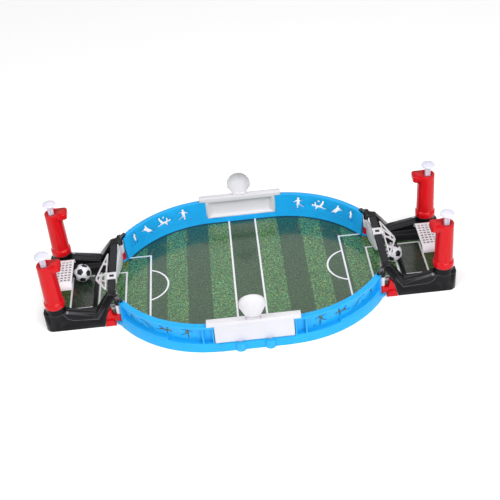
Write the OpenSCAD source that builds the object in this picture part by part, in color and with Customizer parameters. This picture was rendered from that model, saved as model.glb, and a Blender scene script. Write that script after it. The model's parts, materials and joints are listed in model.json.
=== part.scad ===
// Two-player tabletop football game: an oval pitch between two curved walls, with a
// goal end at each short side. Each goal end has two grips with thumb buttons, and each
// button drives one flipper through a rod, a 45 degree wedge and a sliding link.
// X runs from goal to goal, Y from the near wall to the far wall, Z = 0 is the table.

/* [Pitch] */
// Height of the playing surface above the table
field_z = 5; // [4.5:0.1:5.5]
// Height of the curved walls
wall_h = 41; // [39:0.5:43]
// Radius of the wall's curved stretches, to the middle of its top rim
wall_r = 150; // [149:0.5:151]
// Half length of the straight stretch in the middle of each wall
wall_flat = 45; // [44:0.5:46]
// Distance from the pitch's centre line to the middle of the wall's rim
wall_y = 139; // [138.5:0.5:139.5]
// Thickness of the moulded wall
wall_t = 2.2; // [1.8:0.1:2.6]

/* [Goal ends] */
// Half width of a goal end at the table
end_y = 72; // [71:0.5:73]
// Distance from the centre spot to a goal end's outer face
end_x = 276; // [275:0.5:277]
// Height of the brace tops that carry the crossbar
brace_h = 45; // [44:0.5:46]
// Width of the crossbar, along X
bar_w = 8.6; // [8:0.1:9]
// Distance between score positions on the crossbar
score_step = 7.5; // [6:0.5:9]

/* [Controls] */
// Travel of a thumb button
press = 6; // [5:0.1:6]
// Height of the grips' flat tops
grip_top = 103; // [101:0.5:104]
// Radius of a grip's shaft at its top
grip_r = 11.5; // [11.2:0.1:11.8]
// Sweep of a flipper towards the goal at rest, in degrees
sweep = 9; // [6:0.5:12]
// Length of a flipper from its pivot
flipper_l = 52; // [44:0.5:53]
// Diameter of the ball
ball_d = 25; // [22:0.5:26]

/* [Serving] */
// Half width of a serve panel's plate
panel_x = 51; // [48:0.5:53]
// Half width of a serve panel's top rail
rail_x = 60; // [58:0.5:62]
// Height of a serve scoop's top edge
scoop_top = 83; // [80:0.5:86]
// Outward lean of a serve scoop, in degrees
scoop_lean = 15; // [10:1:16]

/* [Hidden] */
$fn = 64;
BLUE = "dodgerblue";
BLACK = [0.1, 0.1, 0.11];
RED = "crimson";
WHITE = "whitesmoke";
GREY = [0.24, 0.25, 0.25];
STEEL = "silver";

// arc centre of a wall's curved stretch, and the angle that the stretch turns through
arc_c = [wall_flat, wall_y - wall_r];
arc_a = 56.4;
pivot = [176, 66.5];          // a flipper's pivot
grip = [259, 58.5];           // a grip's axis
button_x = 261;               // a button's axis, set 2 mm outward of the grip's
pin_r = 1.5;
bore_r = 1.56;                // running bore on a pivot pin
hub_z = [17.5, 31.8];         // the flipper's sleeve
lug_h = 6;
tube_z = [6.3, 17.2];         // the bracket's sleeve
cap_z = [32.1, 45];
rail_in = 53;
rail_out = 68.5;
rail_lean = 7.8;                // lean of a rail's outer face
board_half = 39.7;            // half width of the board's tongue between the rails
tongue_x = 208.8;
ledge_z = 14;
panel_z = 12;                 // bottom of the serve panel
flange_z = 35.2;              // bottom of a grip
collar_z = 25.5;              // top of the goal end's corner
bar_x = 183;
bar_z = [39, 45];
bar_end = 52;
rod_tip = 8.2;
wedge_gap = 0.45;
link_y = 58.5;
nose_z = 19.5;
nose_r = 1.8;
spring_z = [60, 92];
bore_top_r = 6;
cavity_y = [54.5, 62.5];

// generic football figures, each in one outline, with its ball's place and the angle
// round the wall at which it stands and its scale
kicker = [[-0.9, 9.6], [0.9, 9.9], [2.1, 8.8], [1.9, 7.3], [1, 6.6], [3.4, 5.9], [6.8, 6.6], [7.2, 5.2],
    [3.2, 4.2], [2, 3.6], [1.8, 0.4], [4.6, -2.2], [7.6, -3.4], [8.2, -5], [6.9, -5.3], [3.6, -4],
    [0.8, -1.6], [0.2, -2], [0, -5.2], [-0.4, -9.4], [-2.4, -9.6], [-2.2, -5.4], [-2.2, -0.8],
    [-2, 3.2], [-4.6, 1.6], [-6.8, 1.2], [-7.2, 2.6], [-5, 3.4], [-2, 6], [-0.9, 6.6], [-1.5, 8.2]];
overhead = [[-8.2, 0.2], [-7.2, 1.4], [-5.8, 1.2], [-5, 0.4], [-4.8, 3.6], [-3.6, 4.4], [-3, 3.6],
    [-2.8, 1], [0.6, 0.8], [3.4, 4.2], [4.2, 7.4], [5.8, 7.4], [5.6, 4.4], [3.2, 0.4], [5.4, -1],
    [8.2, -1.2], [8.4, -2.8], [5.2, -3], [2, -2.4], [-1.4, -2.2], [-2.4, -5.6], [-3.8, -6.2],
    [-4.4, -5.2], [-3.8, -1.8], [-5.4, -1.4], [-7, -1.8], [-8.2, -1]];
diver = [[-8.6, -4.4], [-8, -3.2], [-5, -2.6], [-2.6, 0], [-0.4, 2.4], [1.2, 4.6], [2, 7.6], [3.6, 7.8],
    [3.6, 5], [4.6, 5.2], [5.6, 4.6], [5.4, 3.2], [8.6, 3.6], [9, 2.2], [4.6, 1], [2.6, 0.2],
    [0.6, -2.2], [-1, -4], [-3.4, -6.8], [-5, -6.8], [-4.8, -5.6], [-3.4, -4], [-5.4, -4.4],
    [-8, -5.2]];
stander = [[-1.2, 9.4], [0.8, 9.6], [1.8, 8.4], [1.4, 6.9], [3.2, 5.4], [5.2, 2.6], [4.2, 1.6],
    [2.2, 3.8], [2, 0.2], [3, -3.8], [3.4, -9.2], [1.6, -9.4], [0.8, -4.4], [0, -2.2], [-0.8, -4.6],
    [-2.2, -9.4], [-4, -9.2], [-2.8, -4], [-2.2, 0.2], [-2.2, 3.6], [-4.8, 5.8], [-4, 7],
    [-1.8, 6.4], [-1.2, 6.9], [-1.9, 8.2]];
FIGURES = [[kicker, [-8.4, -7.6], 16, 1.1], [overhead, [-0.2, 5.6], 28.4, 1.4],
    [diver, [6.4, -4.6], 39.4, 1.3], [stander, [9, -6.6], 49.6, 1.04]];
figure_z = 25.9;

// ---- helpers ----
module corner(sx, sy) {
    mirror([sx < 0 ? 1 : 0, 0, 0]) mirror([0, sy < 0 ? 1 : 0, 0]) children();
}
module side(s) { rotate([0, 0, s < 0 ? 180 : 0]) children(); }
// extrude an outline drawn in X and Z along Y, from y0 to y1
module slab_y(y0, y1) { translate([0, y1, 0]) rotate([90, 0, 0]) linear_extrude(y1 - y0) children(); }
// extrude an outline drawn in Y and Z along X, from x0 to x1
module slab_x(x0, x1) { translate([x0, 0, 0]) rotate([90, 0, 90]) linear_extrude(x1 - x0) children(); }
module box(a, b) { translate(a) cube(b - a); }
module post(p, z0, z1, r) { translate([p[0], p[1], z0]) cylinder(h = z1 - z0, r = r); }
// the wall's end or a place along it: local X runs along the wall, local Y outward
module on_wall(angle) { translate(arc_c) rotate([0, 0, -angle]) translate([0, wall_r, 0]) children(); }

// ---- pitch ----
// the oval inside the walls with a tongue at each end
module pitch_outline() {
    r = wall_r - 6.5;
    quarter = concat([for (a = [0:2:56]) arc_c + r * [sin(a), cos(a)]],
        [[172, 60.6], [190, 56.5], [195, 50], [195, board_half], [tongue_x, board_half]]);
    n = len(quarter) - 1;
    polygon(concat(quarter, [for (i = [n:-1:0]) [quarter[i][0], -quarter[i][1]]],
        -quarter, [for (i = [n:-1:0]) [-quarter[i][0], quarter[i][1]]]));
}
module pitch_board() {
    color([0.12, 0.14, 0.12]) translate([0, 0, 2.1]) linear_extrude(2.5) pitch_outline();
}
module pitch_sheet() {
    color("forestgreen") translate([0, 0, 4.6]) linear_extrude(field_z - 4.6) pitch_outline();
}

// ---- walls ----
module wall_run() {
    step_a = 26;
    translate(arc_c) {
        // section: x is the radius from the arc centre
        rotate([0, 0, 90 - arc_a]) rotate_extrude(angle = arc_a, $fn = 128) translate([wall_r, 0])
            polygon([[-9.5, 0.4], [-9.5, 2], [-6, 2], [-3.5, wall_h], [3.5, wall_h], [3.5, wall_h - 4],
                [-3.8 + wall_t, wall_h - 4], [-5.3 + wall_t, ledge_z - 1], [3.2, ledge_z - 1], [5.5, 0],
                [3.4, 0], [1.4, ledge_z - 1 - wall_t], [-3.6, ledge_z - 1 - wall_t], [-4.2, 0.4]]);
        // the ledge is higher towards the ends
        rotate([0, 0, 90.6 - arc_a]) rotate_extrude(angle = arc_a - step_a - 0.6, $fn = 128)
            translate([wall_r, 0]) polygon([[-4.2, ledge_z - 2], [2.8, ledge_z - 2], [2.8, ledge_z + 2],
                [-4.2, ledge_z + 2]]);
    }
    // the straight stretch carries the serve panel, so it is only a skirt
    slab_x(-1, wall_flat) translate([wall_y, 0]) polygon([[-9.8, 0.2], [-9.8, 1.9], [-6.2, 1.9],
        [-5.6, panel_z], [3.8, panel_z], [5.9, 0], [3.1, 0], [1.1, 9.2], [-3.3, 9.2], [-4, 0.2]]);
}
module figure_cuts() {
    for (f = FIGURES) on_wall(f[2]) translate([0, 10, figure_z]) rotate([90, 0, 0]) linear_extrude(20)
        scale(f[3]) {
        polygon(f[0]);
        translate(f[1]) circle(r = 1.3);
    }
}
module gusset(x) {
    translate([x - 1, 0, 0]) slab_x(0, 2) translate([wall_y, 0])
        polygon([[-3, ledge_z - 2], [2.6, ledge_z - 2], [0.6, wall_h - 3], [-2.4, wall_h - 3]]);
}
module wall() {
    difference() {
        union() {
            for (m = [0, 1]) mirror([m, 0, 0]) {
                wall_run();
                gusset(66);
                gusset(53);
                // end plate, and the skin that runs on past it on the pitch side
                on_wall(arc_a) slab_x(-3, 0)
                    polygon([[-5.8, 0.5], [-3.4, wall_h - 0.1], [3.4, wall_h - 0.1], [4.6, 0.5]]);
                on_wall(arc_a) slab_x(-1.5, 5.5)
                    polygon([[-5.85, 0.6], [-3.35, wall_h - 0.2], [-1.9, wall_h - 0.2], [-4.2, 0.6]]);
                linear_extrude(lug_h) polygon([[163.5, 70.5], [170.5, 77.5], [179.2, 70], [173, 63.2]]);
                post(pivot, 0, lug_h, 4.6);
                post([19, wall_y + 3], 0, panel_z - 0.4, 7);
            }
        }
        box([-panel_x - 0.3, wall_y - 10, panel_z - 0.4], [panel_x + 0.3, wall_y + 9, wall_h + 1]);
        for (m = [0, 1]) mirror([m, 0, 0]) {
            figure_cuts();
            post(pivot, -1, lug_h + 1, bore_r);
            box([16, wall_y + 0.4, panel_z - 6], [22, wall_y + 3.6, panel_z + 1]);
        }
    }
}
module serve_panel() {
    plate_y = wall_y + 0.8;
    color(WHITE) {
        difference() {
            union() {
                box([-panel_x, wall_y - 4.6, panel_z], [panel_x, plate_y + 1.8, wall_h + 0.6]);
                box([-rail_x, wall_y - 4.6, wall_h + 0.4], [rail_x, wall_y + 4.6, wall_h + 6.4]);
            }
            // tray that is open to the pitch, with sloping ends
            translate([0, 0, panel_z + 2]) linear_extrude(wall_h - panel_z - 3)
                polygon([[3 - panel_x, wall_y - 5], [panel_x - 3, wall_y - 5], [panel_x - 8, plate_y],
                    [8 - panel_x, plate_y]]);
            box([-6.2, wall_y - 1.7, wall_h + 2], [6.2, wall_y + 1.7, wall_h + 7]);
        }
        for (x = [-19, 19]) box([x - 2.6, wall_y + 0.8, panel_z - 5.4], [x + 2.6, wall_y + 2.6, panel_z + 3]);
    }
}
// shell that faces the pitch and leans outward: a domed half pipe cut to a pear's outline,
// on a foot that plugs into the rail
module serve_scoop() {
    cup_r = 21;
    skin = 1.8;
    foot_z = wall_h + 6;
    dome_z = scoop_top - 17 - foot_z;
    color(WHITE) {
        translate([0, wall_y, foot_z]) rotate([-scoop_lean, 0, 0]) intersection() {
            translate([0, 1.9 - cup_r, 0]) rotate_extrude() polygon(concat(
                [[cup_r - skin, -3], [cup_r, -3]],
                [for (a = [0:5:85]) [cup_r * cos(a), dome_z + cup_r * sin(a)]],
                [[0, dome_z + cup_r], [0, dome_z + cup_r - skin]],
                [for (a = [85:-5:0]) [(cup_r - skin) * cos(a), dome_z + (cup_r - skin) * sin(a)]]));
            slab_y(-12, 5) {
                translate([0, dome_z]) circle(r = 17);
                polygon([[-16.2, dome_z - 5], [16.2, dome_z - 5], [8.2, 1.3], [-8.2, 1.3]]);
            }
        }
        box([-6, wall_y - 1.5, wall_h + 2.2], [6, wall_y + 1.5, wall_h + 8.6]);
        slab_y(wall_y - 2.2, wall_y + 3)
            polygon([[-9, foot_z + 0.5], [9, foot_z + 0.5], [8.6, foot_z + 2.3], [-8.6, foot_z + 2.3]]);
    }
}

// ---- goal ends, drawn for the east end ----
brace_foot = [207.5, 17.5];
module frame_side() {
    polygon([[197, 0], [190.3, 24.5], [176, brace_h], [188.5, brace_h], brace_foot, [246, collar_z],
        [end_x, collar_z], [end_x, 0]]);
}
module frame_plan() {
    r = 11;
    translate([170, -end_y]) square([end_x - r - 170, 2 * end_y]);
    translate([170, r - end_y]) square([end_x - 170, 2 * (end_y - r)]);
    for (s = [-1, 1]) translate([end_x - r, s * (end_y - r)]) circle(r = r);
}
module rail_section() {
    polygon([[40, 0], [40.4, field_z], [44, 13], [rail_in, 13], [rail_in, brace_h + 1], [62, brace_h + 1],
        [rail_out, collar_z], [end_y, 0]]);
}
// grooves between the three steps along a rail's top
module rail_grooves() {
    slope = atan((collar_z - brace_foot[1]) / (246 - brace_foot[0]));
    for (y = [57, 62.4]) translate([brace_foot[0] - 1, y, brace_foot[1] - 1.2]) rotate([0, -slope, 0])
        cube([38, 1.2, 6]);
    translate([brace_foot[0] - 1, 50, brace_foot[1] - 1.8]) rotate([0, -slope, 0]) cube([36, 5.4, 6]);
}
module link_cavity() {
    slab_y(cavity_y[0], cavity_y[1])
        polygon([[198.5, -1], [191.9, 23.2], [201.6, 23.2], [206, 15], [246, 22.8], [266.4, 22.8],
            [266.4, -1]]);
    box([198.9, 53.5, -1], [269.2, 63.5, 1.8]);
}
module goal_frame() {
    color(BLACK) difference() {
        union() {
            intersection() {
                slab_y(-80, 80) frame_side();
                linear_extrude(60) frame_plan();
                slab_x(170, 280) for (m = [0, 1]) mirror([m, 0]) rail_section();
            }
            for (s = [-1, 1]) {
                post([grip[0], s * grip[1]], 0, collar_z, 13.4);
                translate([259, s * 49 - 4.5, 0]) cube([15.6, 9, collar_z]);
            }
            box([267, -46, 0], [end_x - 1.5, 46, 20]);
            box([209, -40.2, 1.5], [268, 40.2, 4.4]);
            box([209, -40.2, 1.5], [215, 40.2, field_z]);
        }
        for (m = [0, 1]) mirror([0, m, 0]) {
            link_cavity();
            rail_grooves();
            post([button_x, grip[1]], 20, collar_z + 1, 3.2);
            post([252.5, 66.2], -1, collar_z + 1, 1.6);
            post([266.5, 50.6], -1, collar_z + 1, 1.6);
            post([252.5, 66.2], -1, 3, 2.8);
            post([266.5, 50.6], -1, 3, 2.8);
            post([244, 65.6], 14, collar_z + 1, 1.1);
            post([244, 65.6], collar_z - 1.3, collar_z + 1, 2.2);
            translate([185, link_y, nose_z]) rotate([0, 90, 0]) cylinder(h = 12, r = 2.4);
            post(pivot, 20, brace_h + 1, 4.2);
            // pocket for the crossbar's tenon
            box([179.8, bar_end - 1, 39.8], [186.2, bar_end + 5.2, 43.2]);
            // shallow panel line on the outer face
            translate([0, end_y, 0]) rotate([rail_lean, 0, 0]) slab_y(-0.6, 9)
                polygon([[184, 44], [203.5, 12.5], [237, 14.5], [244.5, 18], [249, 25], [249, 48],
                    [184, 48]]);
        }
    }
}
module goal_floor() {
    color("darkgreen") box([215.2, -39.9, 4.4], [266.8, 39.9, field_z]);
}
module crossbar() {
    color(GREY) {
        box([bar_x - bar_w / 2, 0.2 - bar_end, bar_z[0]], [bar_x + bar_w / 2, bar_end - 0.2, bar_z[1]]);
        for (s = [-1, 1]) translate([180, s * (bar_end + 2) - 3, 40]) cube([6, 6, 3]);
        for (i = [-6:6]) post([bar_x + bar_w / 2, i * score_step], 41.5, bar_z[1], 1.2);
    }
}
module goal_net() {
    t = 1.4;
    roof_z = 44.5;
    bend = 9;
    x0 = 237.5;
    x1 = 265.5;
    color(WHITE) difference() {
        union() {
            // roof and back, one bent sheet
            slab_y(-22, 22) difference() {
                union() {
                    translate([x0, roof_z - t]) square([x1 - bend - x0, t]);
                    translate([x1 - t, 20]) square([t, roof_z - bend - 20]);
                    intersection() {
                        translate([x1 - bend, roof_z - bend]) circle(r = bend);
                        translate([x1 - bend, roof_z - bend]) square(bend);
                    }
                }
                translate([x1 - bend, roof_z - bend]) circle(r = bend - t);
            }
            // ends that curl down
            for (m = [0, 1]) mirror([0, m, 0]) slab_x(x0, x1 - bend + 3) translate([22, 0]) difference() {
                intersection() {
                    translate([0, roof_z - bend]) circle(r = bend);
                    translate([0, roof_z - bend]) square([bend, bend]);
                }
                translate([0, roof_z - bend]) circle(r = bend - t);
            }
            // foot that stands on the floor behind the goal
            box([x1 - t, -22, field_z + 0.1], [x1, -16, 20.1]);
            box([x1 - t, 16, field_z + 0.1], [x1, 22, 20.1]);
        }
        for (i = [0:3], j = [-3.5:3.5])
            translate([x0 + 4.4 + 5 * i, 5.6 * j, roof_z]) cube([3.4, 3.3, 2 * bend], center = true);
    }
}

// ---- fixings, one set per corner ----
module each_corner() { for (sx = [-1, 1], sy = [-1, 1]) corner(sx, sy) children(); }
module grip_body() {
    hook_x = 239.5;
    hook_y = 10.2;
    color(RED) difference() {
        union() {
            translate([grip[0], grip[1], 0]) rotate_extrude()
                polygon([[0, flange_z], [13.2, flange_z], [13.7, flange_z + 0.6], [13.7, flange_z + 7.4],
                    [12.9, flange_z + 8.8], [grip_r + 0.7, flange_z + 9.4], [grip_r, grip_top - 0.6],
                    [grip_r - 0.6, grip_top], [0, grip_top]]);
            // finger rest
            translate([0, grip[1], 0]) {
                translate([0, 0, grip_top - 7]) linear_extrude(7) {
                    translate([hook_x + 5, -hook_y]) square([grip[0] - hook_x - 5, 2 * hook_y]);
                    translate([hook_x, 5 - hook_y]) square([9, 2 * hook_y - 10]);
                    for (s = [-1, 1]) translate([hook_x + 5, s * (hook_y - 5)]) circle(r = 5);
                }
                slab_y(-7, 7) polygon([[248, grip_top - 13], [251, grip_top - 5], [241.5, grip_top - 6.5],
                    [244, grip_top - 8.6], [246.6, grip_top - 10]]);
            }
        }
        post([button_x, grip[1]], flange_z - 1, spring_z[0] + 1, 3);
        post([button_x, grip[1]], spring_z[0], grip_top + 1, bore_top_r);
        post([252.5, 66.2], flange_z - 1, flange_z + 7, 1.2);
        post([266.5, 50.6], flange_z - 1, flange_z + 7, 1.2);
    }
}
module collar() {
    difference() {
        post(grip, collar_z + 0.1, flange_z - 0.1, 13.5);
        post([button_x, grip[1]], collar_z - 1, flange_z + 1, 3.2);
        post([252.5, 66.2], collar_z - 1, flange_z + 1, 1.6);
        post([266.5, 50.6], collar_z - 1, flange_z + 1, 1.6);
        // bayonet notch on the outer side
        translate([grip[0] + 12.6, grip[1] - 2, collar_z]) cube([3, 4, 3]);
    }
}
module grip_collars() { color(BLACK) each_corner() collar(); }
module grip_screws() {
    color(STEEL) each_corner() for (p = [[252.5, 66.2], [266.5, 50.6]]) {
        post(p, 0.8, 2.8, 2.6);
        post(p, 2.8, flange_z + 6, 1.15);
    }
}
module rail_screws() {
    color(STEEL) each_corner() {
        post([244, 65.6], 15, collar_z - 1, 1);
        post([244, 65.6], collar_z - 1.1, collar_z + 0.7, 2);
    }
}
module link_covers() {
    color(BLACK) each_corner() box([199.2, 53.7, 0.2], [269, 63.3, 1.7]);
}
module pivot_pins() {
    color(STEEL) each_corner() {
        post(pivot, 0.8, cap_z[1] - 1.2, pin_r);
        post(pivot, 0.4, 0.9, pin_r - 0.3);
    }
}
module bracket() {
    color(RED) difference() {
        union() {
            slab_y(61.4, 69.6) polygon([[184, 0], [196.6, 0], [191.9, 17.2], [188.6, 24.4], [186.4, 24],
                [184, 15]]);
            slab_y(61.6, 72.4) polygon([[181.5, 0.1], [196.4, 0.1], [194.2, 8.4], [193, 9.4], [183.8, 9.4]]);
            slab_y(63, 70) polygon([[176, tube_z[0]], [184.5, tube_z[0]], [184.5, 14.5], [176, 14.5]]);
            post(pivot, tube_z[0], tube_z[1], 4.2);
        }
        post(pivot, 0, 20, bore_r);
    }
}
module pivot_cap() {
    color(BLACK) difference() {
        union() {
            post(pivot, cap_z[0], cap_z[1], 3.6);
            // arm that clamps the wall's end
            translate([pivot[0], pivot[1], cap_z[1] - 6.5]) rotate([0, 0, 180 - arc_a])
                translate([-2, -1.2, 0]) cube([13, 4.4, 6]);
            // tongue on the brace's top
            translate([0, 0, brace_h + 0.1]) linear_extrude(1)
                polygon([[177, 53.8], [187.6, 53.8], [187.6, 61.4], [181, 63.4], [178.6, 67], [173.4, 67],
                    [173, 64.4], [177, 61]]);
            post(pivot, cap_z[1] - 1, brace_h + 1.1, 3.6);
        }
        post(pivot, cap_z[0] - 1, cap_z[1] - 1, bore_r);
        // seat on the wall's end
        on_wall(arc_a) box([-12, -7, 30], [0.3, 6, wall_h + 0.2]);
    }
}

// ---- controls, drawn for the east end's far corner ----
module spring() {
    turns = 7;
    sides = 8;
    per_turn = 14;
    n = turns * per_turn;
    coil_r = 4.3;
    wire_r = 0.45;
    rise = (spring_z[1] - spring_z[0] - 2 * wire_r - 0.6) / n;
    points = [for (i = [0:n], k = [0:sides - 1])
        let (a = 360 * i / per_turn, r = coil_r + wire_r * cos(360 * k / sides))
        [r * cos(a), r * sin(a), rise * i + wire_r * sin(360 * k / sides)]];
    sides_faces = [for (i = [0:n - 1], k = [0:sides - 1]) let (j = (k + 1) % sides)
        [i * sides + k, (i + 1) * sides + k, (i + 1) * sides + j, i * sides + j]];
    end_faces = [[for (k = [0:sides - 1]) k], [for (k = [sides - 1:-1:0]) n * sides + k]];
    color(STEEL) translate([button_x, grip[1], spring_z[0] + wire_r + 0.2])
        polyhedron(points, concat(sides_faces, end_faces), convexity = 4);
}
// thumb cap, ribbed stem, collar and rod in one moulding; the rod ends in a 45 degree wedge
module button() {
    cap_low = grip_top + 12.5;
    color(WHITE) translate([button_x, grip[1], 0]) {
        rotate_extrude() polygon([[0, cap_low], [7.6, cap_low], [9.1, cap_low + 0.8],
            [9.35, cap_low + 1.8], [8.8, cap_low + 2.7], [6, cap_low + 4], [3, cap_low + 4.6],
            [0, cap_low + 4.8]]);
        for (a = [45, 135]) rotate([0, 0, a]) translate([-4, -1, spring_z[1] + 2])
            cube([8, 2, cap_low + 0.5 - spring_z[1] - 2]);
        translate([0, 0, spring_z[1] + 0.3]) cylinder(h = 3, r = bore_top_r - 0.3);
        difference() {
            translate([0, 0, rod_tip]) cylinder(h = spring_z[1] + 1 - rod_tip, r = 2.5);
            translate([2.5, 0, rod_tip]) rotate([0, 45, 0]) translate([-20, -5, -10]) cube([20, 10, 10]);
        }
    }
}
// slide in the rail that the wedge pushes towards the pitch; its nose pushes the flipper
module link() {
    wedge = button_x + 2.5 + rod_tip - wedge_gap;
    color(WHITE) {
        slab_y(cavity_y[0] + 0.5, cavity_y[1] - 0.5)
            polygon([[265.6, 2], [265.6, wedge - 265.6], [wedge - 11, 11], [250, 11], [250, 8],
                [207.6, 8], [201.9, 21.4], [198.9, 21.4], [204.4, 2]]);
        translate([181.3, link_y, nose_z]) rotate([0, 90, 0]) cylinder(h = 20, r = nose_r);
        translate([181.3, link_y, nose_z]) sphere(r = nose_r);
    }
}
module flipper() {
    color(WHITE) difference() {
        union() {
            post(pivot, hub_z[0], hub_z[1], 3.4);
            // leaf-shaped blade: its side outline and its plan outline meet
            translate(pivot) rotate([0, 0, sweep - 90]) intersection() {
                slab_y(-4, 4) polygon([[0, hub_z[0] + 0.2], [0, hub_z[1]], [16, hub_z[1]], [24, 28.5],
                    [flipper_l - 8, 21], [flipper_l, 15.5], [flipper_l, 12.5], [flipper_l - 6, 8.6],
                    [26, 7.2], [12, 7.4], [6.5, 10], [5.6, hub_z[0] + 0.2]]);
                linear_extrude(40) polygon([[0, -1.4], [8, -1.6], [18, -2.4], [34, -2], [flipper_l - 1, -1.2],
                    [flipper_l, 0], [flipper_l - 1, 1.2], [34, 1.8], [18, 1.9], [8, 1.6], [0, 1.4]]);
            }
        }
        post(pivot, 0, 40, bore_r);
    }
}
// clip round the crossbar with an openwork plate on its outer side
module score_slider() {
    clip_y = 15;
    inner = bar_x - bar_w / 2 - 0.4;
    outer = bar_x + bar_w / 2 + 1.6;
    color(WHITE) {
        difference() {
            translate([inner - 1.4, clip_y - 7, bar_z[0] - 1.7])
                cube([outer - inner + 2.8, 14, bar_z[1] - bar_z[0] + 3.4]);
            translate([inner, clip_y - 8, bar_z[0] - 0.4])
                cube([outer - inner, 16, bar_z[1] - bar_z[0] + 0.8]);
            translate([bar_x - 2.6, clip_y - 2.9, bar_z[1] - 1]) cube([6, 5.8, 5]);
        }
        translate([outer + 1.2, clip_y, bar_z[1] - 1]) rotate([0, 25, 0]) translate([0, 0, -0.8])
            linear_extrude(1.5) difference() {
                polygon([[0, -53], [1.6, -53], [18.4, -12], [18.4, -5], [2, 25], [0, 25]]);
                polygon([[2.2, -46], [6.4, -36], [2.2, -33]]);
                polygon([[2.2, -29], [8, -33], [14, -16], [7, -11], [2.2, -12]]);
                polygon([[11.4, -9.4], [16, -12], [16, -6.4], [13.6, -3]]);
                polygon([[2.2, 9.4], [10.4, 0], [3.8, 17], [2.2, 20]]);
                polygon([[3.4, -8], [9.4, -7.4], [11.4, -3], [6.6, 1.4], [3.4, 4.6]]);
            }
    }
}
module ball() { color("white") translate([0, 0, field_z + ball_d / 2 + 0.1]) sphere(d = ball_d); }

// ---- nodes ----
module wall_far() { color(BLUE) wall(); }
module wall_near() { color(BLUE) side(-1) wall(); }
pitch_board();
pitch_sheet();
wall_far();
wall_near();
serve_panel();  // serve_panel_far
side(-1) serve_panel();  // serve_panel_near
serve_scoop();  // serve_scoop_far
side(-1) serve_scoop();  // serve_scoop_near
goal_frame();  // goal_frame_east
side(-1) goal_frame();  // goal_frame_west
goal_floor();  // goal_floor_east
side(-1) goal_floor();  // goal_floor_west
crossbar();  // crossbar_east
side(-1) crossbar();  // crossbar_west
goal_net();  // goal_net_east
side(-1) goal_net();  // goal_net_west
corner(1, 1) grip_body();  // grip_east_far
corner(1, -1) grip_body();  // grip_east_near
corner(-1, 1) grip_body();  // grip_west_far
corner(-1, -1) grip_body();  // grip_west_near
grip_collars();
grip_screws();
rail_screws();
link_covers();
pivot_pins();
corner(1, 1) bracket();  // bracket_east_far
corner(1, -1) bracket();  // bracket_east_near
corner(-1, 1) bracket();  // bracket_west_far
corner(-1, -1) bracket();  // bracket_west_near
corner(1, 1) pivot_cap();  // pivot_cap_east_far
corner(1, -1) pivot_cap();  // pivot_cap_east_near
corner(-1, 1) pivot_cap();  // pivot_cap_west_far
corner(-1, -1) pivot_cap();  // pivot_cap_west_near
corner(1, 1) spring();  // spring_east_far
corner(1, -1) spring();  // spring_east_near
corner(-1, 1) spring();  // spring_west_far
corner(-1, -1) spring();  // spring_west_near
corner(1, 1) button();  // button_east_far
corner(1, -1) button();  // button_east_near
corner(-1, 1) button();  // button_west_far
corner(-1, -1) button();  // button_west_near
corner(1, 1) link();  // link_east_far
corner(1, -1) link();  // link_east_near
corner(-1, 1) link();  // link_west_far
corner(-1, -1) link();  // link_west_near
corner(1, 1) flipper();  // flipper_east_far
corner(1, -1) flipper();  // flipper_east_near
corner(-1, 1) flipper();  // flipper_west_far
corner(-1, -1) flipper();  // flipper_west_near
score_slider();  // score_slider_east
side(-1) translate([0, score_step, 0]) score_slider();  // score_slider_west
translate([203, -1, 0]) ball();  // ball_east
translate([-231, 27.5, 0]) ball();  // ball_west
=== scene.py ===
"""Tabletop flipper football game: looks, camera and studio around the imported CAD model.

All sizes are in metres, in the row frame: +X east, +Y far, +Z up, origin under the centre spot.
"""

import json
import math

import bmesh
import bpy
from mathutils import Matrix, Vector


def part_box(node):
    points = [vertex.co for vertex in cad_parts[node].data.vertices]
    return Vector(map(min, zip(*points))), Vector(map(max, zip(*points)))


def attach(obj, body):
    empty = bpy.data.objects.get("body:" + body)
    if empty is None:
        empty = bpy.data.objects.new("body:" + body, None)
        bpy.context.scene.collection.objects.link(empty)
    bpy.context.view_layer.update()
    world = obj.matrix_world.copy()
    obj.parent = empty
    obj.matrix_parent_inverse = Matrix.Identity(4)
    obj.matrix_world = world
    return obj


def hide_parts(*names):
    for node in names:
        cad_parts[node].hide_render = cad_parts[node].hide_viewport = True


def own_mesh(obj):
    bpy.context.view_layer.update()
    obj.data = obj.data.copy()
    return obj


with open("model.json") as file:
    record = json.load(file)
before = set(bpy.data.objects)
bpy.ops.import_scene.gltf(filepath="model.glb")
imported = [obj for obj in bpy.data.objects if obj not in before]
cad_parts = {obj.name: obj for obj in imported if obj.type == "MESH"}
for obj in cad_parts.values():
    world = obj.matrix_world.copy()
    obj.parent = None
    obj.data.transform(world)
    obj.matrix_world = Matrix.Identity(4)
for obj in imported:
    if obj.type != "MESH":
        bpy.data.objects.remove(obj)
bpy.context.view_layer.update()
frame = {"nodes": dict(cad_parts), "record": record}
NODES = frame["nodes"]
BODIES = frame["record"]["behaviour"]["bodies"]
SLOT_OF = {s["node"]: s["material_slot"] for s in frame["record"]["subparts"]}
scene = bpy.context.scene
CORNERS = [(end, side) for end in ("east", "west") for side in ("far", "near")]
SIGN = {"east": 1, "west": -1, "far": 1, "near": -1}


def middle_of(node):
    low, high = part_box(node)
    return (low + high) / 2


# ---- camera -------------------------------------------------------------------------
YAW, PITCH, ROLL = (math.radians(a) for a in (0.74523698, 37.21883012, -5.56162777))
CAMERA_AT = Vector((-0.008388, -1.098216, 0.88196))
LENS_MM, SENSOR_MM = 72.73, 36


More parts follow.
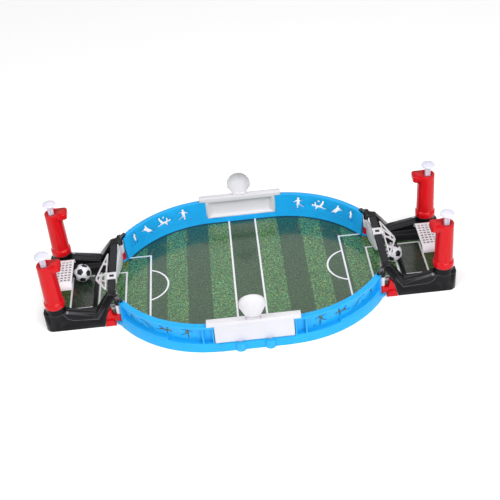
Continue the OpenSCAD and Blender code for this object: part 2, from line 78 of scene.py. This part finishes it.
def camera_axes():
    """The camera's right, up and forward directions."""
    ahead = Vector((math.sin(YAW), math.cos(YAW), 0))
    side = Vector((math.cos(YAW), -math.sin(YAW), 0))
    forward = ahead * math.cos(PITCH) - Vector((0, 0, math.sin(PITCH)))
    upward = Vector((0, 0, math.cos(PITCH))) + ahead * math.sin(PITCH)
    right = side * math.cos(ROLL) + upward * math.sin(ROLL)
    return right, upward * math.cos(ROLL) - side * math.sin(ROLL), forward


def make_camera():
    right, up, forward = camera_axes()
    data = bpy.data.cameras.new("camera")
    data.lens, data.sensor_width = LENS_MM, SENSOR_MM
    data.clip_start, data.clip_end = 0.05, 20
    camera = bpy.data.objects.new("camera", data)
    scene.collection.objects.link(camera)
    turn = Matrix((right, up, -forward)).transposed().to_4x4()
    camera.matrix_world = Matrix.Translation(CAMERA_AT) @ turn
    scene.camera = camera


make_camera()

# ---- material graphs ----------------------------------------------------------------
NOISE_LOW, NOISE_HIGH = 0.28, 0.72  # between these lies nearly all of a noise texture
BUMP_STRENGTH = 0.5


class Value:
    """A number that a material's nodes work out, with plain arithmetic."""

    def __init__(self, graph, socket):
        self.graph, self.socket = graph, socket

    def __add__(self, other):
        return self.graph.math("ADD", self, other)

    def __sub__(self, other):
        return self.graph.math("SUBTRACT", self, other)

    def __mul__(self, other):
        return self.graph.math("MULTIPLY", self, other)

    def __abs__(self):
        return self.graph.math("ABSOLUTE", self)

    def below(self, other):
        return self.graph.math("LESS_THAN", self, other)

    def above(self, other):
        return self.graph.math("GREATER_THAN", self, other)

    def most(self, other):
        return self.graph.math("MAXIMUM", self, other)

    def root(self):
        return self.graph.math("SQRT", self)

    def near(self, centre, half):
        """1 within half of centre, 0 elsewhere."""
        return abs(self - centre).below(half)

    def between(self, low, high):
        """1 from low to high, 0 elsewhere."""
        return self.near((low + high) / 2, (high - low) / 2)


class Graph:
    """A material whose Principled shader is fed from its own nodes."""

    def __init__(self, name, **constants):
        self.mat = bpy.data.materials.new(name)
        self.mat.use_nodes = True
        self.tree = self.mat.node_tree
        self.shader = self.tree.nodes["Principled BSDF"]
        for key, value in constants.items():
            self.shader.inputs[key.replace("_", " ")].default_value = value
        self.place = self.tree.nodes.new("ShaderNodeTexCoord").outputs["Object"]

    def feed(self, node, index, value):
        if isinstance(value, Value):
            value = value.socket
        if isinstance(value, bpy.types.NodeSocket):
            self.tree.links.new(value, node.inputs[index])
        else:
            node.inputs[index].default_value = value

    def math(self, operation, *values, clamp=False):
        node = self.tree.nodes.new("ShaderNodeMath")
        node.operation, node.use_clamp = operation, clamp
        for i, value in enumerate(values):
            self.feed(node, i, value)
        return Value(self, node.outputs[0])

    def xyz(self):
        node = self.tree.nodes.new("ShaderNodeSeparateXYZ")
        self.tree.links.new(self.place, node.inputs[0])
        return [Value(self, s) for s in node.outputs]

    def noise(self, scale, detail, rough, low, high, stretch=None, lift=0.0):
        """Noise of that many cells per metre, spread over low to high."""
        place = self.place
        if stretch:
            mapping = self.tree.nodes.new("ShaderNodeMapping")
            self.tree.links.new(place, mapping.inputs["Vector"])
            mapping.inputs["Scale"].default_value = stretch
            mapping.inputs["Location"].default_value = (lift, lift, lift)
            place = mapping.outputs[0]
        node = self.tree.nodes.new("ShaderNodeTexNoise")
        self.tree.links.new(place, node.inputs["Vector"])
        node.inputs["Scale"].default_value = scale
        node.inputs["Detail"].default_value = detail
        node.inputs["Roughness"].default_value = rough
        spread = self.tree.nodes.new("ShaderNodeMapRange")
        spread.inputs["From Min"].default_value = NOISE_LOW
        spread.inputs["From Max"].default_value = NOISE_HIGH
        spread.inputs["To Min"].default_value = low
        spread.inputs["To Max"].default_value = high
        self.tree.links.new(node.outputs[0], spread.inputs["Value"])
        return Value(self, spread.outputs[0])

    def mix(self, factor, a, b):
        """Colour a at factor 0, b at factor 1."""
        node = self.tree.nodes.new("ShaderNodeMix")
        node.data_type = "RGBA"
        self.feed(node, 0, factor)
        for index, colour in ((6, a), (7, b)):
            self.feed(node, index, (*colour, 1) if isinstance(colour, tuple) else colour)
        return node.outputs[2]

    def tint(self, colour, strength):
        """Colour made lighter or darker by a value round 0."""
        node = self.tree.nodes.new("ShaderNodeHueSaturation")
        self.feed(node, "Value", strength + 1.0)
        self.feed(node, "Color", (*colour, 1) if isinstance(colour, tuple) else colour)
        return node.outputs[0]

    def bump(self, height, distance, edge=0.0):
        """Normal from a height, on edges rounded by the radius edge."""
        node = self.tree.nodes.new("ShaderNodeBump")
        node.inputs["Strength"].default_value = BUMP_STRENGTH
        node.inputs["Distance"].default_value = distance
        self.feed(node, "Height", height)
        if edge:
            soft = self.tree.nodes.new("ShaderNodeBevel")
            soft.samples = 4
            soft.inputs["Radius"].default_value = edge
            self.tree.links.new(soft.outputs[0], node.inputs["Normal"])
        self.tree.links.new(node.outputs[0], self.shader.inputs["Normal"])

    def edges(self, radius, gain):
        """0 on flat places, up to 1 where the surface turns sharply within that radius."""
        soft = self.tree.nodes.new("ShaderNodeBevel")
        soft.samples = 6
        soft.inputs["Radius"].default_value = radius
        dot = self.tree.nodes.new("ShaderNodeVectorMath")
        dot.operation = "DOT_PRODUCT"
        self.tree.links.new(soft.outputs[0], dot.inputs[0])
        flat = self.tree.nodes.new("ShaderNodeNewGeometry").outputs["True Normal"]
        self.tree.links.new(flat, dot.inputs[1])
        bend = self.math("SUBTRACT", 1.0, Value(self, dot.outputs["Value"]))
        return self.math("MULTIPLY", bend, gain, clamp=True)

    def set(self, **sockets):
        for key, value in sockets.items():
            self.feed(self.shader, key.replace("_", " "), value)
        return self.mat


# ---- plastics and metals ------------------------------------------------------------
# the bump's depth, then the reach and strength of the painted highlight along sharp edges
PEEL_DEPTH, GLINT_RADIUS, GLINT_GAIN = 0.00003, 0.0007, 3.0


def plastic(name, colour, rough, shade=0.05, edge=0.0004, edge_glint=None, **constants):
    """Injection-moulded plastic: fine orange peel, cloudy gloss, a few scuffs, faint colour
    clouds and, where an edge colour is given, a painted highlight of that colour along sharp edges."""
    g = Graph(name, **constants)
    clouds = g.noise(38, 3, 0.6, -shade, shade)
    polish = g.noise(150, 3, 0.55, -0.06, 0.06)
    scuffs = g.noise(420, 2, 0.6, 0, 1, stretch=(1, 0.12, 1)).above(0.9) * 0.06
    peel = g.noise(620, 2, 0.5, 0, 1) + g.noise(90, 2, 0.5, 0, 2)
    g.bump(peel, PEEL_DEPTH, edge)
    colour = g.tint(colour, clouds)
    if edge_glint:
        # painted highlight along sharp edges, standing in for the light that rounded edges catch
        colour = g.mix(g.edges(GLINT_RADIUS, GLINT_GAIN), colour, edge_glint)
    return g.set(Base_Color=colour, Roughness=polish + scuffs + rough)


def metal(name, colour, rough):
    """Turned steel: fine rings round an upright pin."""
    g = Graph(name, Metallic=1.0)
    lines = g.noise(300, 3, 0.6, 0, 1, stretch=(1, 1, 6))
    g.bump(lines, 0.00002, 0.0002)
    clouds = g.noise(200, 2, 0.5, -0.08, 0.08)
    return g.set(Base_Color=g.tint(colour, clouds), Roughness=lines * 0.15 + rough)


# ---- printed turf -------------------------------------------------------------------
# Both halves of the pitch are alike, so X is measured from the middle line either way.
LINE = 0.00125  # half the width of a white line
LANE_LINE, GOAL_LINE, BACK_LINE = 0.0194, 0.2066, 0.246
STRIPES = (0.0515, 0.084, 0.113, 0.141)  # where light and dark stripes change
AREA_X, AREA_Y = 0.136, 0.0671
GOAL_BOX_X, GOAL_BOX_Y = 0.170, 0.0344
ARC_X, ARC_R = 0.1454, 0.0340
# the painted contact shadow along a wall's foot: two arcs and a straight, up to RIM_END
RIM_X, RIM_Y, RIM_R, RIM_END = 0.045, 0.011, 0.1396, 0.168
CREASE = 0.0003  # half the width of the sheet's fold along the middle


def times(colour, red, green, blue):
    """A colour with its parts multiplied."""
    return colour[0] * red, colour[1] * green, colour[2] * blue


def line_box(x, y, front, half_y):
    """The near side of a marked box and its two long sides, which run on towards the goal."""
    side = x.near(front, LINE) * abs(y).below(half_y + LINE)
    return side.most(abs(y).near(half_y, LINE) * x.above(front))


def white_lines(x, y):
    """1 on the pitch's white lines."""
    reach = ((x - ARC_X) * (x - ARC_X) + y * y).root()
    lines = x.near(LANE_LINE, LINE).most(x.near(GOAL_LINE, LINE))
    lines = lines.most(line_box(x, y, AREA_X, AREA_Y))
    lines = lines.most(line_box(x, y, GOAL_BOX_X, GOAL_BOX_Y) * x.below(BACK_LINE))
    lines = lines.most(x.near(BACK_LINE, LINE) * abs(y).below(GOAL_BOX_Y + LINE))
    return lines.most(reach.near(ARC_R, LINE) * x.below(AREA_X))


def wall_foot_shadow(x, y):
    """1 on the painted contact shadow where the sheet meets the walls."""
    along, out = (x - RIM_X).most(0.0), abs(y) + RIM_Y
    return (along * along + out * out).root().above(RIM_R) * x.below(RIM_END)


def mown_grass(g, x, y, light, dark, beside):
    """Light and dark stripes with shade between the blades and lit tips on them."""
    edge = x + g.noise(260, 3, 0.6, -0.0012, 0.0012)
    pale = edge.between(LANE_LINE, STRIPES[0]).most(edge.between(STRIPES[1], STRIPES[2]))
    pale = pale.most(edge.above(STRIPES[3]))
    shadows = g.noise(340, 3, 0.7, -0.9, 1.7)
    tips = g.noise(410, 3, 0.7, -0.9, 1.6, stretch=(1, 0.8, 1), lift=3.0)
    warm = g.noise(290, 2, 0.6, -0.5, 1.5, stretch=(0.9, 1, 1), lift=7.0)
    patches = g.noise(34, 2, 0.5, 0, 1)
    pale_tips = g.mix(warm, times(light, 1.8, 2.1, 5.5), times(light, 6.5, 2.3, 4.0))
    grass = g.mix(pale, dark, light)
    grass = g.mix(shadows * 0.95, grass, times(dark, 0.3, 0.3, 0.3))
    grass = g.mix(tips * 0.8, grass, g.mix(pale, times(dark, 5, 2.6, 4), pale_tips))
    grass = g.mix(patches * 0.3, grass, times(dark, 0.8, 1.15, 0.7))
    if beside:
        outside = abs(y).above(GOAL_BOX_Y).most(x.above(BACK_LINE))
        grass = g.mix(outside * (tips * 0.6 + 0.4), grass, beside)
    return g.tint(grass, g.noise(560, 2, 0.6, -1.0, 1.15))


def turf(name, light, dark, rough, coat, beside=None):
    """Laminated print of mown grass with the pitch's white lines, and another green
    beside and behind the goal box."""
    g = Graph(name, Coat_Weight=coat, Coat_Roughness=0.11, Coat_IOR=1.5)
    x, y, _ = g.xyz()
    x = abs(x)
    colour = mown_grass(g, x, y, light, dark, beside)
    colour = g.mix(x.below(CREASE) * 0.35, colour, (0.02, 0.03, 0.02))
    # painted contact shadow where the sheet meets the walls
    colour = g.mix(wall_foot_shadow(x, y) * 0.85, colour, (0.001, 0.004, 0.003))
    white = g.tint((0.78, 0.78, 0.84), g.noise(900, 2, 0.6, -0.05, 0.03))
    colour = g.mix(white_lines(x, y), colour, white)
    g.bump(g.noise(1100, 2, 0.6, 0, 1) + g.noise(30, 2, 0.5, 0, 5), 0.00002)
    return g.set(Base_Color=colour, Roughness=g.noise(120, 2, 0.5, -0.05, 0.05) + rough)


# ---- the materials by slot ----------------------------------------------------------
MATERIALS = {
    "board": plastic("board", (0.05, 0.055, 0.05), 0.55, edge=0.0),
    "turf_print": turf("turf_print", (0.031, 0.142, 0.025), (0.006, 0.042, 0.009), 0.42, 1.0),
    "floor_print": turf(
        "floor_print", (0.012, 0.030, 0.011), (0.008, 0.018, 0.007), 0.3, 0.22, beside=(0.035, 0.120, 0.022)
    ),
    "blue_plastic": plastic("blue_plastic", (0.010, 0.380, 0.815), 0.34, Specular_IOR_Level=0.3),
    "white_plastic": plastic("white_plastic", (0.680, 0.668, 0.702), 0.34, shade=0.02),
    "net_plastic": plastic("net_plastic", (0.76, 0.72, 0.76), 0.36, shade=0.03, edge=0.0002),
    "black_plastic": plastic(
        "black_plastic",
        (0.004, 0.004, 0.005),
        0.22,
        shade=0.12,
        # a painted highlight of this colour along the black parts' edges
        edge_glint=(0.15, 0.15, 0.165),
        Specular_IOR_Level=0.14,
    ),
    "grey_plastic": plastic("grey_plastic", (0.022, 0.022, 0.026), 0.48, shade=0.12, Specular_IOR_Level=0.2),
    "red_plastic": plastic("red_plastic", (0.58, 0.004, 0.008), 0.15, shade=0.03, Specular_IOR_Level=0.22),
    "steel": metal("steel", (0.66, 0.66, 0.67), 0.22),
    "spring_wire": metal("spring_wire", (0.60, 0.60, 0.61), 0.3),
    "ball_plastic": plastic("ball_plastic", (0.80, 0.80, 0.86), 0.24, shade=0.02, edge=0.0),
}
CLEAR_WHITE = plastic(
    "clear_white", (0.68, 0.68, 0.79), 0.26, shade=0.02, Subsurface_Weight=0.35, Subsurface_Scale=0.004
)
BALL_BLACK = plastic("ball_black", (0.012, 0.012, 0.014), 0.25, shade=0.1, edge=0.0)


def paint(obj, *materials):
    """Give an object its materials; faces keep the slot numbers that they have."""
    held = obj.data.materials
    while len(held) < len(materials):
        held.append(None)
    for i, material in enumerate(materials):
        held[i] = material
    while len(held) > len(materials):
        held.pop()


def material_for(node):
    """The slot's material; the buttons are of a clearer white than the other white parts."""
    return CLEAR_WHITE if node.startswith("button") else MATERIALS[SLOT_OF[node]]


for node_name, node_object in NODES.items():
    paint(node_object, material_for(node_name))

# ---- pieces -------------------------------------------------------------------------
SMOOTH_UP_TO = math.radians(35)
BEVEL_STEPS, BEVEL_FROM = 2, math.radians(30)
JOIN_WITHIN, FLAT_WITHIN = 0.000002, math.radians(0.6)
BOX_SLACK, VOLUME_SLACK = 0.0002, 0.04


def body_of(node):
    return next(body for body, members in BODIES.items() if node in members)


def new_piece(name, bm, body, slot, *materials, stands_for, sharp=SMOOTH_UP_TO):
    """A finished mesh as a piece on its body, in place of the CAD nodes it stands for."""
    mesh = bpy.data.meshes.new(name)
    bm.to_mesh(mesh)
    bm.free()
    piece = bpy.data.objects.new(name, mesh)
    scene.collection.objects.link(piece)
    paint(piece, *(materials or (MATERIALS[slot],)))
    mesh.shade_smooth()
    if sharp:
        mesh.set_sharp_from_angle(angle=sharp)
    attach(piece, body)
    if stands_for:
        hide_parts(*stands_for)
    return piece


def skin(bm, rings):
    """Closed tube over rings of vertices."""
    for one, other in zip(rings, rings[1:]):
        for k in range(len(one)):
            n = (k + 1) % len(one)
            bm.faces.new((one[k], one[n], other[n], other[k]))
    bm.faces.new(rings[0])
    bm.faces.new(rings[-1])


def from_node(node):
    """A CAD node's mesh with its faces joined along their edges and flat regions whole."""
    bm = bmesh.new()
    bm.from_mesh(NODES[node].data)
    bmesh.ops.remove_doubles(bm, verts=bm.verts, dist=JOIN_WITHIN)
    bmesh.ops.dissolve_limit(bm, angle_limit=FLAT_WITHIN, verts=bm.verts, edges=bm.edges)
    return bm


def volume_of(bm):
    copy = bm.copy()
    bmesh.ops.triangulate(copy, faces=copy.faces)
    found = copy.calc_volume()
    copy.free()
    return found


def can_soften(edge, width):
    """Whether an edge is sharp and longer than its rounding."""
    return len(edge.link_faces) == 2 and edge.calc_face_angle(0) > BEVEL_FROM and edge.calc_length() > width


def sort_by_place(bm):
    """Put vertices and faces in an order that is the same on each run; a bevel's own isn't."""
    for elements, place in (
        (bm.verts, lambda vert: vert.co[:]),
        (bm.faces, lambda face: sorted(vert.co[:] for vert in face.verts)),
    ):
        rank = {element: i for i, element in enumerate(sorted(elements, key=place))}
        elements.sort(key=rank.get)


def soften(node, width):
    """A copy of a CAD node whose edges are rounded as far as they have room, kept only if
    the shape stays sound."""
    bm = from_node(node)
    before = volume_of(bm)
    bmesh.ops.bevel(
        bm,
        geom=[e for e in bm.edges if can_soften(e, width)],
        offset=width,
        segments=BEVEL_STEPS,
        profile=0.5,
        affect="EDGES",
        clamp_overlap=True,
    )
    bmesh.ops.triangulate(bm, faces=[f for f in bm.faces if len(f.verts) > 4])
    sort_by_place(bm)
    after = volume_of(bm)
    low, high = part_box(node)
    inside = all(low[i] - BOX_SLACK <= v.co[i] <= high[i] + BOX_SLACK for v in bm.verts for i in range(3))
    if inside and abs(after - before) <= VOLUME_SLACK * abs(before):
        new_piece(f"soft_{node}", bm, body_of(node), SLOT_OF[node], material_for(node), stands_for=[node])
    else:
        print("not softened:", node, inside, before, after)
        bm.free()


# ---- footballs ----------------------------------------------------------------------
PATCH = 0.385  # share of an icosahedron's edge that a black pentagon covers at each end
PANEL_STEPS = 7
SEAM_DEPTH, SEAM_WIDTH = 0.00032, 0.16  # the width is a share of a panel's half width


def icosahedron():
    """Its 12 corners, and for each corner the numbers of the 5 next to it."""
    golden = (1 + math.sqrt(5)) / 2
    flat = [(0, s, t * golden) for s in (1, -1) for t in (1, -1)]
    corners = [Vector(p) for p in flat]
    corners += [Vector((p[2], p[0], p[1])) for p in flat]
    corners += [Vector((p[1], p[2], p[0])) for p in flat]
    # the icosahedron's edges are 2 long
    near = [[j for j, other in enumerate(corners) if 0.1 < (one - other).length < 2.1] for one in corners]
    return corners, near


def in_order(points):
    """Points of a flat panel sorted round its middle."""
    middle = sum(points, Vector()) / len(points)
    start = (points[0] - middle).normalized()
    across = middle.normalized().cross(start)

    def angle(point):
        return math.atan2((point - middle).dot(across), (point - middle).dot(start))

    return sorted(points, key=angle), middle


def panels():
    """The 12 pentagons and 20 hexagons of a football, each with its material's number."""
    corners, near = icosahedron()
    for i in range(12):
        yield 1, in_order([corners[i].lerp(corners[j], PATCH) for j in near[i]])
    for i in range(12):
        for j in near[i]:
            for k in near[j]:
                if i < j < k and k in near[i]:
                    pairs = [(a, b) for a in (i, j, k) for b in (i, j, k) if a != b]
                    yield 0, in_order([corners[a].lerp(corners[b], PATCH) for a, b in pairs])


def basis(u, v):
    """A turned frame whose first axis is u and whose second leans towards v."""
    third = u.cross(v).normalized()
    return Matrix((u, third.cross(u), third)).transposed()


def football(node, first, second):
    """Panelled ball with sunk seams. Two neighbouring pentagons point along first and second."""
    low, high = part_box(node)
    centre, radius = middle_of(node), (high[0] - low[0]) / 2
    corners, near = icosahedron()
    a, b = corners[0].normalized(), corners[near[0][0]].normalized()
    turn = basis(first.normalized(), second.normalized()) @ basis(a, b).transposed()
    bm = bmesh.new()
    for number, (ring, middle) in panels():
        for p, q in zip(ring, ring[1:] + ring[:1]):
            grid = {}
            for i in range(PANEL_STEPS + 1):
                for j in range(PANEL_STEPS + 1 - i):
                    inward = 1 - (i + j) / PANEL_STEPS
                    spot = middle * inward + p * (i / PANEL_STEPS) + q * (j / PANEL_STEPS)
                    sunk = SEAM_DEPTH * math.exp(-((inward / SEAM_WIDTH) ** 2))
                    grid[i, j] = bm.verts.new(centre + turn @ spot.normalized() * (radius - sunk))
            for i in range(PANEL_STEPS):
                for j in range(PANEL_STEPS - i):
                    faces = [(grid[i, j], grid[i + 1, j], grid[i, j + 1])]
                    if i + j < PANEL_STEPS - 1:
                        faces.append((grid[i + 1, j], grid[i + 1, j + 1], grid[i, j + 1]))
                    for face in faces:
                        bm.faces.new(face).material_index = number
    bmesh.ops.remove_doubles(bm, verts=bm.verts, dist=JOIN_WITHIN / 2)
    bmesh.ops.recalc_face_normals(bm, faces=bm.faces)
    both = MATERIALS["ball_plastic"], BALL_BLACK
    new_piece(f"foot{node}", bm, body_of(node), "ball_plastic", *both, stands_for=[node], sharp=None)


def toward(node, across, up, out):
    """A direction as it is seen from where the main view looks at the node."""
    eye = (CAMERA_AT - middle_of(node)).normalized()
    right = camera_axes()[0]
    right = (right - eye * right.dot(eye)).normalized()
    return right * across + eye.cross(right) * up + eye * out


football("ball_west", toward("ball_west", -0.27, 0.10, 0.96), toward("ball_west", 0.05, -0.80, 0.60))
football("ball_east", toward("ball_east", 0.56, -0.08, 0.82), toward("ball_east", -0.25, -0.72, 0.64))

# ---- serve scoops -------------------------------------------------------------------
SCOOP_LEAN = math.radians(15)
SCOOP_SINK = 0.0004  # from the panel's top down to where the scoop's own frame starts
BOWL_R, BOWL_Y, BOWL_Z, SHELL = 0.02095, -0.0191, 0.019, 0.0018
RIM_RADIUS, RIM_TURN = 0.017, math.radians(107)
NECK_HALF, NECK_Z = 0.0082, 0.0014
FLUTES, FLUTE_DEPTH = 11, 0.00064
SHELL_ACROSS, SHELL_ALONG = 88, 30
BLOCK_EDGE = 0.0005


def shell_point(s, r, inner):
    """Point of the shell's outer or inner face in the scoop's own frame. s goes from -1 to 1
    round the rim, and r from 0 at the neck to 1 at the rim."""
    swing = RIM_TURN * s
    x = NECK_HALF * s * (1 - r) + RIM_RADIUS * math.sin(swing) * r
    z = NECK_Z * (1 - r) + (BOWL_Z + RIM_RADIUS * math.cos(swing)) * r
    reach = math.sqrt((BOWL_R - inner * SHELL) ** 2 - x**2 - max(0.0, z - BOWL_Z) ** 2)
    # the flutes are shallower at the neck and run out at the rim
    depth = FLUTE_DEPTH * min(1, 0.25 + r, 7 * (1 - r))
    return x, BOWL_Y + reach + depth / 2 * (math.cos(math.pi * FLUTES * s) - 1), z


def scoop(side):
    """Fluted shell that opens towards the pitch, on a foot in the panel's rail."""
    node, sign = f"serve_scoop_{side}", SIGN[side]
    foot_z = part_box(node)[0][2]
    rail_y = middle_of(f"serve_panel_{side}")[1]
    rail_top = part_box(f"serve_panel_{side}")[1][2] - SCOOP_SINK
    bm = bmesh.new()

    def vertex(i, j, inner):
        x, y, z = shell_point(2 * i / SHELL_ACROSS - 1, j / SHELL_ALONG, inner)
        out = y * math.cos(SCOOP_LEAN) + z * math.sin(SCOOP_LEAN)
        up = z * math.cos(SCOOP_LEAN) - y * math.sin(SCOOP_LEAN)
        return bm.verts.new((x, rail_y + sign * out, rail_top + up))

    outer, inner = (
        [[vertex(i, j, k) for i in range(SHELL_ACROSS + 1)] for j in range(SHELL_ALONG + 1)]
        for k in (False, True)
    )
    for layer in (outer, inner):
        for row, above in zip(layer, layer[1:]):
            for i in range(SHELL_ACROSS):
                bm.faces.new((row[i], row[i + 1], above[i + 1], above[i]))
    rims = [([row[i] for row in outer], [row[i] for row in inner]) for i in (0, -1)]
    rims += [(outer[0], inner[0]), (outer[-1], inner[-1])]
    for one, other in rims:
        for k in range(len(one) - 1):
            bm.faces.new((one[k], one[k + 1], other[k + 1], other[k]))
    # half width, inner and outer side, bottom, top, and the top's share of the width
    collar = (0.009, -0.0022, 0.003, rail_top + 0.0005, rail_top + 0.0023, 0.955)
    foot = (0.006, -0.0015, 0.0015, foot_z, rail_top + 0.0026, 1.0)
    for half_x, y0, y1, z0, z1, taper in (collar, foot):
        block = bmesh.ops.create_cube(bm, size=1)["verts"]
        for v in block:
            x = v.co.x * 2 * half_x * (taper if v.co.z > 0 else 1)
            y = (y0 + y1) / 2 + v.co.y * (y1 - y0)
            v.co = Vector((x, rail_y + sign * y, (z0 + z1) / 2 + v.co.z * (z1 - z0)))
        sharp = [e for e in bm.edges if e.verts[0] in block and e.verts[1] in block]
        bmesh.ops.bevel(
            bm, geom=sharp, offset=BLOCK_EDGE, segments=BEVEL_STEPS, profile=0.5, affect="EDGES"
        )
    bmesh.ops.recalc_face_normals(bm, faces=bm.faces)
    new_piece(f"shell_scoop_{side}", bm, body_of(node), "white_plastic", stands_for=[node])


for side_name in ("far", "near"):
    scoop(side_name)

# ---- finger ridges on the grips -----------------------------------------------------
GRIP_FOOT_R, GRIP_TOP_R = 0.0122, 0.0115
GRIP_FLANGE, GRIP_CHAMFER = 0.0094, 0.0006  # heights at the grip's foot and top
RIDGES, RIDGE_FROM, RIDGE_STEP = 11, 0.006, 0.0043
RIDGE_R, RIDGE_SINK, RIDGE_HALF_ARC = 0.0004, 0.0001, math.radians(15)
RIDGE_TALL = 1.5  # a ridge's height over its depth
RIDGE_BLUNT = 0.02  # keeps its ends from running out to a point
RIDGE_ALONG, RIDGE_ROUND = 12, 8


def ridges(end, side):
    """Short half-round ribs on the grip's side that faces the pitch."""
    node, sx, sy = f"grip_{end}_{side}", SIGN[end], SIGN[side]
    low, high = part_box(node)
    # the grip's flange is round, and its outer side is the box's
    flange_r = (high[1] - low[1]) / 2
    axis_x = (high[0] if sx > 0 else low[0]) - sx * flange_r
    axis_y = (low[1] + high[1]) / 2
    foot_z, top_z = low[2] + GRIP_FLANGE, high[2] - GRIP_CHAMFER
    bm = bmesh.new()
    for row in range(RIDGES):
        z = foot_z + RIDGE_FROM + row * RIDGE_STEP
        share = (z - foot_z) / (top_z - foot_z)
        surface = GRIP_FOOT_R + (GRIP_TOP_R - GRIP_FOOT_R) * share
        rings = []
        for i in range(RIDGE_ALONG + 1):
            swing = i / RIDGE_ALONG * 2 - 1
            angle = RIDGE_HALF_ARC * swing
            size = RIDGE_R * math.sqrt(max(RIDGE_BLUNT, 1 - swing**4))
            ring = []
            for k in range(RIDGE_ROUND):
                t = 2 * math.pi * k / RIDGE_ROUND
                reach = surface - RIDGE_SINK + size * math.cos(t)
                x = axis_x - sx * math.cos(angle) * reach
                y = axis_y + sy * math.sin(angle) * reach
                ring.append(bm.verts.new((x, y, z + RIDGE_TALL * size * math.sin(t))))
            rings.append(ring)
        skin(bm, rings)
    bmesh.ops.recalc_face_normals(bm, faces=bm.faces)
    new_piece(f"grip_ridges_{end}_{side}", bm, body_of(node), "red_plastic", stands_for=[])


for end_name, side_name in CORNERS:
    ridges(end_name, side_name)

# ---- button springs -----------------------------------------------------------------
WIRE_R, TURNS, SPRING_AROUND, WIRE_ROUND = 0.00045, 7, 40, 12
END_TURN, END_RISE = 0.85, 2.1 * WIRE_R  # the part of a turn that lies flat at each end


def spring(end, side):
    """Round-wire coil with closed ends, under its button."""
    node = f"spring_{end}_{side}"
    low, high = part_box(node)
    centre = middle_of(node)
    coil_r = (high[0] - low[0]) / 2 - WIRE_R
    hand = SIGN[end] * SIGN[side]
    climb = high[2] - low[2] - 2 * WIRE_R - END_RISE
    bm = bmesh.new()
    rings = []
    for i in range(TURNS * SPRING_AROUND + 1):
        done = i / SPRING_AROUND
        free = min(max((done - END_TURN) / (TURNS - 2 * END_TURN), 0), 1)
        flat = (min(done, END_TURN) + max(0, done - TURNS + END_TURN)) / END_TURN
        z = low[2] + WIRE_R + END_RISE * flat / 2 + climb * free
        turn = hand * 2 * math.pi * done
        ring = []
        for k in range(WIRE_ROUND):
            t = 2 * math.pi * k / WIRE_ROUND
            reach = coil_r + WIRE_R * math.cos(t)
            x, y = centre[0] + reach * math.cos(turn), centre[1] + reach * math.sin(turn)
            ring.append(bm.verts.new((x, y, z + WIRE_R * math.sin(t))))
        rings.append(ring)
    skin(bm, rings)
    bmesh.ops.recalc_face_normals(bm, faces=bm.faces)
    piece = new_piece(f"coil_{end}_{side}", bm, body_of(node), "spring_wire", stands_for=[node])
    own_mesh(piece)


for end_name, side_name in CORNERS:
    spring(end_name, side_name)

# ---- rounded edges on the moulded parts ---------------------------------------------
# The most that a part's edges are rounded. Parts with short edges, such as the walls with
# their cut-outs and the flippers, have room for almost none.
EDGE_WIDTHS = {
    "goal_frame": 0.0005,
    "crossbar": 0.0003,
    "bracket": 0.0005,
    "serve_panel": 0.0005,
    "pivot_cap": 0.0004,
    "grip_east": 0.0007,
    "grip_west": 0.0007,
    "button": 0.0002,
    "flipper": 0.0003,
    "score_slider": 0.00025,
    "goal_net": 0.0003,
    "wall": 0.0003,
    "link_east": 0.0003,
    "link_west": 0.0003,
}
for node_name in sorted(NODES):
    for stem, edge_width in EDGE_WIDTHS.items():
        if node_name.startswith(stem):
            soften(node_name, edge_width)

# ---- studio -------------------------------------------------------------------------
FLOOR_HALF, FLOOR_GLOW, ROOM_GLOW = 6, 0.24, 0.40


def floor():
    """Pale matt floor that glows a little, so that it stays near white round the object."""
    bm = bmesh.new()
    bmesh.ops.create_grid(bm, x_segments=1, y_segments=1, size=FLOOR_HALF)
    mesh = bpy.data.meshes.new("floor")
    bm.to_mesh(mesh)
    bm.free()
    ground = bpy.data.objects.new("floor", mesh)
    scene.collection.objects.link(ground)
    g = Graph("floor", Specular_IOR_Level=0.1, Emission_Color=(1, 1, 1, 1), Emission_Strength=FLOOR_GLOW)
    colour = g.tint((0.93, 0.93, 0.93), g.noise(3, 2, 0.5, -0.005, 0.005))
    paint(ground, g.set(Base_Color=colour, Roughness=g.noise(9, 2, 0.5, 0.75, 0.85)))


def room():
    """Even white light from all sides."""
    world = bpy.data.worlds.new("studio")
    world.use_nodes = True
    background = world.node_tree.nodes["Background"]
    background.inputs["Color"].default_value = (1, 1, 1, 1)
    background.inputs["Strength"].default_value = ROOM_GLOW
    scene.world = world


def lamp(name, place, target, size, watts):
    """Rectangular soft light."""
    data = bpy.data.lights.new(name, "AREA")
    data.shape, data.size, data.size_y, data.energy = "RECTANGLE", *size, watts
    light = bpy.data.objects.new(name, data)
    scene.collection.objects.link(light)
    light.location = place
    light.rotation_euler = (Vector(target) - Vector(place)).to_track_quat("-Z", "Y").to_euler()


floor()
room()
lamp("key", (1.3, -2.45, 2.0), (0, 0, 0), (2.8, 1.8), 74)
lamp("fill", (-1.9, -1.2, 1.8), (0, 0, 0), (1.6, 1.6), 19)
lamp("over", (0, -0.12, 0.42), (0, 0.16, 0.05), (0.6, 0.1), 0.9)
lamp("back", (0, 2.3, 1.8), (0, 0, 0), (3.4, 1.3), 8.5)
scene.view_settings.view_transform = "Standard"
